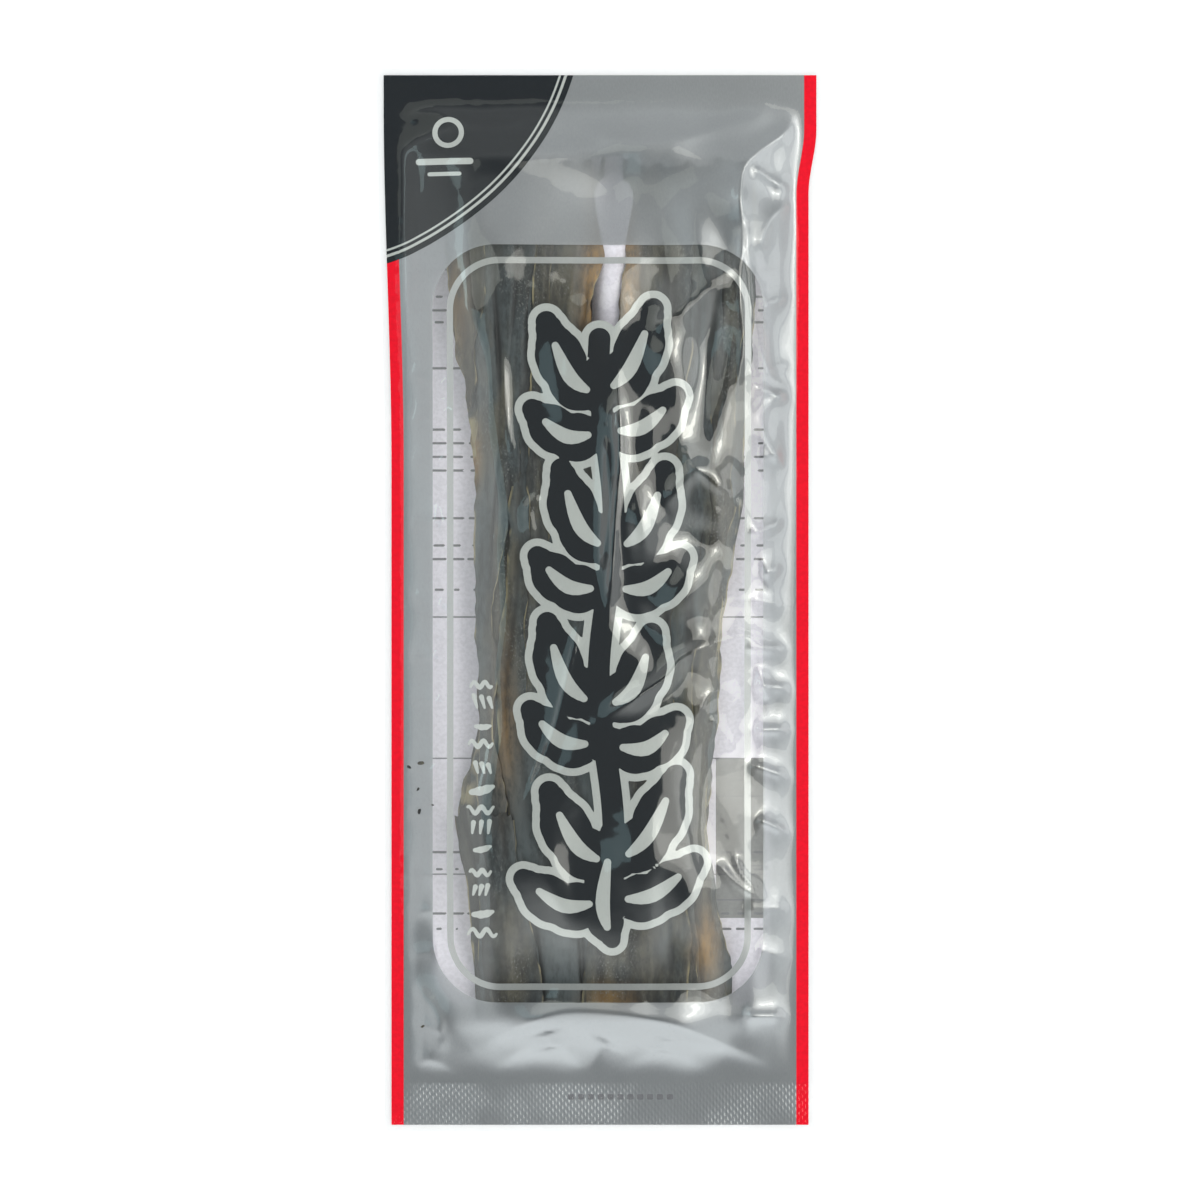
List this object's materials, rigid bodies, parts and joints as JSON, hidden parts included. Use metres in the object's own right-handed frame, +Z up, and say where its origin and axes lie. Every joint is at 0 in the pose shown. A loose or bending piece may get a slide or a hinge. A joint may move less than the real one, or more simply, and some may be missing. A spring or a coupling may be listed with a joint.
{
  "type": "pack of dried kelp",
  "caption": "Flat sealed film pouch of dried kelp strips, with silver, black and red print round a clear window, lying on its back.",
  "frame": {"origin": "under the middle of the pouch, on the surface it lies on", "axes": "+X across the pouch, +Y along it towards the top seal with the notch, +Z up out of the printed front"},
  "size_m": [0.131, 0.312, 0.0155],
  "materials": {
    "silver_print": "film printed with satin silver ink on its inner side",
    "clear_film": "clear glossy film, creased",
    "black_print": "blue-black ink under glossy film",
    "red_print": "red ink under glossy film",
    "white_print": "lilac-white panel on the back film, seen from inside",
    "grey_print": "thin grey lines and bars on the back film",
    "kelp": "dry leathery blades, dark olive to amber, with a pale bloom"
  },
  "bodies": {
    "root": {"pouch": "silver_print"}
  },
  "joints": []
}
